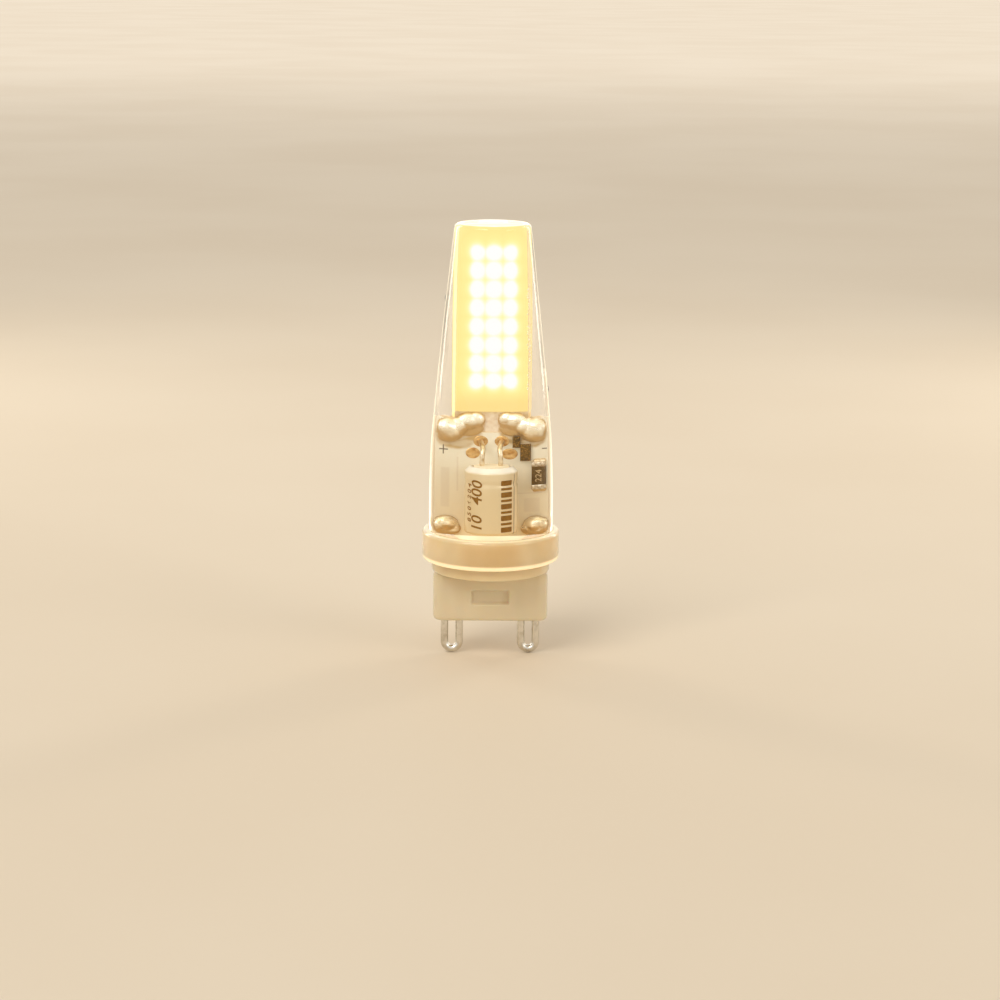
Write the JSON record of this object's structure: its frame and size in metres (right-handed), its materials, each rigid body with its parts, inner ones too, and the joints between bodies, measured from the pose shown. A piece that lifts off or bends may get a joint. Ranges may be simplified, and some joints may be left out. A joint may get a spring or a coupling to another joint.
{
  "type": "led capsule bulb",
  "caption": "Clear cast capsule lamp with a glowing yellow light board, a driver board inside, a milky collar and a flat plug with two wire loops.",
  "frame": {"origin": "on the axis, in the plane of the collar's underside, where the plug starts", "axes": "+Z along the axis to the tip, +X from the left loop to the right loop, the side with the capacitor faces -Y"},
  "size_m": [0.016, 0.016, 0.0507],
  "materials": {
    "clear_cast": "clear cast, glossy",
    "milky_base": "milky moulded, glossy",
    "light_board": "white board",
    "driver_board": "white solder mask",
    "phosphor": "soft yellow coat, lit",
    "led_chip": "lit chip",
    "contact_wire": "nickel-plated wire",
    "can_aluminium": "drawn",
    "capacitor_sleeve": "cream shrunk sleeve",
    "bung_rubber": "matt",
    "lead_wire": "tinned",
    "resistor_body": "black film with tinned ends",
    "black_package": "moulded, matt",
    "solder": "bright solder"
  },
  "bodies": {
    "root": {"bleed_resistor": "resistor_body", "bridge_rectifier": "black_package", "capacitor_bung": "bung_rubber", "capacitor_can": "can_aluminium", "capacitor_lead_left": "lead_wire", "capacitor_lead_right": "lead_wire", "capacitor_sleeve": "capacitor_sleeve", "capacitor_solder": "solder", "capsule_body": "clear_cast", "chip_diode_lower": "black_package", "chip_diode_upper": "black_package", "contact_loop_left": "contact_wire", "contact_loop_right": "contact_wire", "driver_board": "driver_board", "driver_chip": "black_package", "led_chips_front": "led_chip", "led_chips_rear": "led_chip", "light_board": "light_board", "mains_solder_left_front": "solder", "mains_solder_left_rear": "solder", "mains_solder_right_front": "solder", "mains_solder_right_rear": "solder", "phosphor_front": "phosphor", "phosphor_rear": "phosphor", "plug_base": "milky_base", "resistor_solder": "solder", "sense_resistor": "resistor_body", "solder_minus_front": "solder", "solder_minus_rear": "solder", "solder_plus_front": "solder", "solder_plus_rear": "solder"}
  },
  "joints": []
}
